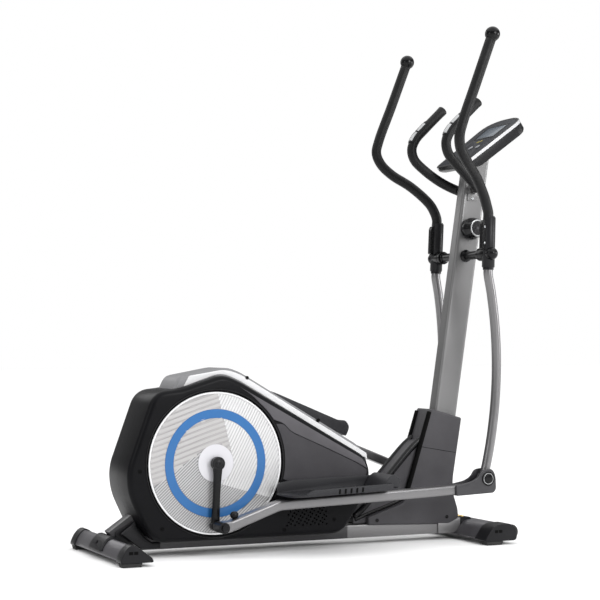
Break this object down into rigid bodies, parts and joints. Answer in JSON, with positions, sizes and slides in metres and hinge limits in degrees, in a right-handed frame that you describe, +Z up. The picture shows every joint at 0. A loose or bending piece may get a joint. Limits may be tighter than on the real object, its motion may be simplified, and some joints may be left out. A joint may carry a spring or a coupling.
{
  "type": "elliptical trainer",
  "caption": "Rear-drive elliptical trainer with swinging handlebars, four-bar pedal arms, crank discs, belt-driven flywheel, console on a mast and stabilizer feet.",
  "frame": {"origin": "on the floor, under the middle of the whole machine's length and width", "axes": "+X forward, from the crank housing to the console; +Y to the user's left; +Z up"},
  "size_m": [1.4558, 0.624, 1.6378],
  "materials": {
    "charcoal_plastic": "satin moulded housing plastic",
    "black_plastic": "fine-grained black moulding",
    "foam": "closed-cell foam sleeve",
    "rubber": "moulded rubber",
    "painted_grey": "metallic grey powder coat",
    "pale_grey": "light metallic grey powder coat",
    "silver_cover": "silver painted cover",
    "disc": "silver disc with a blue ring",
    "steel": "turned steel",
    "chrome": "polished",
    "cast_iron": "turned cast iron",
    "console_face": "dark overlay film",
    "display": "liquid crystal window",
    "button": "grey button"
  },
  "bodies": {
    "frame": {"main_frame": "pale_grey", "mast": "painted_grey", "pivot_axle": "black_plastic", "front_stabilizer": "charcoal_plastic", "rear_stabilizer": "painted_grey", "rear_saddle": "charcoal_plastic", "rear_skirt": "black_plastic", "top_cover": "silver_cover", "bearing_cartridge": "steel", "drive_belt": "rubber", "console_body": "black_plastic", "console_face": "console_face", "display_window": "display", "fixed_handlebar": "painted_grey", "handlebar_clamp": "painted_grey", "rear_cap_right": "charcoal_plastic", "front_cap_right": "charcoal_plastic", "rear_foot_right": "rubber", "front_foot_right": "rubber", "housing_right": "charcoal_plastic", "mast_shroud_right": "charcoal_plastic", "fixed_grip_right": "foam", "pulse_sensor_right": "chrome", "rear_cap_left": "charcoal_plastic", "front_cap_left": "charcoal_plastic", "rear_foot_left": "rubber", "front_foot_left": "rubber", "housing_left": "charcoal_plastic", "mast_shroud_left": "charcoal_plastic", "fixed_grip_left": "foam", "pulse_sensor_left": "chrome"},
    "crank": {"crank_axle": "steel", "drive_pulley": "black_plastic", "crank_arm_right": "black_plastic", "turning_disc_right": "disc", "crank_arm_left": "black_plastic", "turning_disc_left": "disc"},
    "flywheel": {"flywheel": "cast_iron"},
    "idler": {"idler_wheel": "black_plastic"},
    "brake": {"magnet_brake": "steel"},
    "knob": {"tension_knob": "black_plastic"},
    "right_swing_arm": {"handle_right": "foam", "handle_knob_right": "black_plastic", "pivot_sleeve_right": "black_plastic", "swing_tube_right": "painted_grey"},
    "right_pedal_arm": {"pedal_arm_right": "pale_grey", "pivot_bracket_right": "charcoal_plastic", "pedal_right": "charcoal_plastic"},
    "right_transport_wheel": {"transport_wheel_right": "rubber"},
    "left_swing_arm": {"handle_left": "foam", "handle_knob_left": "black_plastic", "pivot_sleeve_left": "black_plastic", "swing_tube_left": "painted_grey"},
    "left_pedal_arm": {"pedal_arm_left": "pale_grey", "pivot_bracket_left": "charcoal_plastic", "pedal_left": "charcoal_plastic"},
    "left_transport_wheel": {"transport_wheel_left": "rubber"},
    "button_1": {"console_button_1": "button"},
    "button_2": {"console_button_2": "button"},
    "button_3": {"console_button_3": "button"}
  },
  "joints": [
    {"name": "crank_spin", "type": "hinge", "parent": "frame", "child": "crank", "pos_m": [-0.37596, 0, 0.277], "axis": [0, 1, 0], "continuous": true},
    {"name": "flywheel_spin", "type": "hinge", "parent": "frame", "child": "flywheel", "pos_m": [-0.06196, 0, 0.192], "axis": [0, 1, 0], "continuous": true},
    {"name": "idler_spin", "type": "hinge", "parent": "frame", "child": "idler", "pos_m": [-0.15896, 0.036, 0.12929], "axis": [0, 1, 0], "continuous": true},
    {"name": "tension_knob_turn", "type": "hinge", "parent": "frame", "child": "knob", "pos_m": [0.55751, -0.05, 1.016], "axis": [0, -1, 0], "range_deg": [0, 270]},
    {"name": "brake_swing", "type": "hinge", "parent": "frame", "child": "brake", "pos_m": [0.03554, 0, 0.093], "axis": [0, 1, 0], "range_deg": [0, 5.4]},
    {"name": "right_arm_swing", "type": "hinge", "parent": "frame", "child": "right_swing_arm", "pos_m": [0.54004, -0.168, 0.926], "axis": [0, 1, 0], "range_deg": [-14.5, 14.5]},
    {"name": "left_arm_swing", "type": "hinge", "parent": "frame", "child": "left_swing_arm", "pos_m": [0.54004, 0.168, 0.926], "axis": [0, 1, 0], "range_deg": [-14.5, 14.5]},
    {"name": "right_pedal_pivot", "type": "hinge", "parent": "right_swing_arm", "child": "right_pedal_arm", "pos_m": [0.51866, -0.168, 0.20632], "axis": [0, 1, 0], "range_deg": [-14.5, 14.5]},
    {"name": "left_pedal_pivot", "type": "hinge", "parent": "left_swing_arm", "child": "left_pedal_arm", "pos_m": [0.50741, 0.168, 0.20674], "axis": [0, 1, 0], "range_deg": [-14.5, 14.5]},
    {"name": "right_wheel_spin", "type": "hinge", "parent": "frame", "child": "right_transport_wheel", "pos_m": [0.58504, -0.219, 0.037], "axis": [0, 1, 0], "continuous": true},
    {"name": "left_wheel_spin", "type": "hinge", "parent": "frame", "child": "left_transport_wheel", "pos_m": [0.58504, 0.219, 0.037], "axis": [0, 1, 0], "continuous": true},
    {"name": "button_1_press", "type": "slide", "parent": "frame", "child": "button_1", "axis": [0.5948, 0, -0.8039], "range_m": [0, 0.0015], "stiffness_N_per_m": 400, "springref_m": -0.0015},
    {"name": "button_2_press", "type": "slide", "parent": "frame", "child": "button_2", "axis": [0.5948, 0, -0.8039], "range_m": [0, 0.0015], "stiffness_N_per_m": 400, "springref_m": -0.0015},
    {"name": "button_3_press", "type": "slide", "parent": "frame", "child": "button_3", "axis": [0.5948, 0, -0.8039], "range_m": [0, 0.0015], "stiffness_N_per_m": 400, "springref_m": -0.0015}
  ],
  "couplings": [
    {"joint": "flywheel_spin", "follows": "crank_spin", "ratio": 6},
    {"joint": "idler_spin", "follows": "crank_spin", "ratio": -7.5},
    {"joint": "left_arm_swing", "follows": "right_arm_swing", "ratio": -1},
    {"joint": "right_pedal_pivot", "follows": "right_arm_swing", "ratio": -1},
    {"joint": "left_pedal_pivot", "follows": "right_arm_swing", "ratio": 1},
    {"joint": "brake_swing", "follows": "tension_knob_turn", "ratio": 0.02}
  ]
}
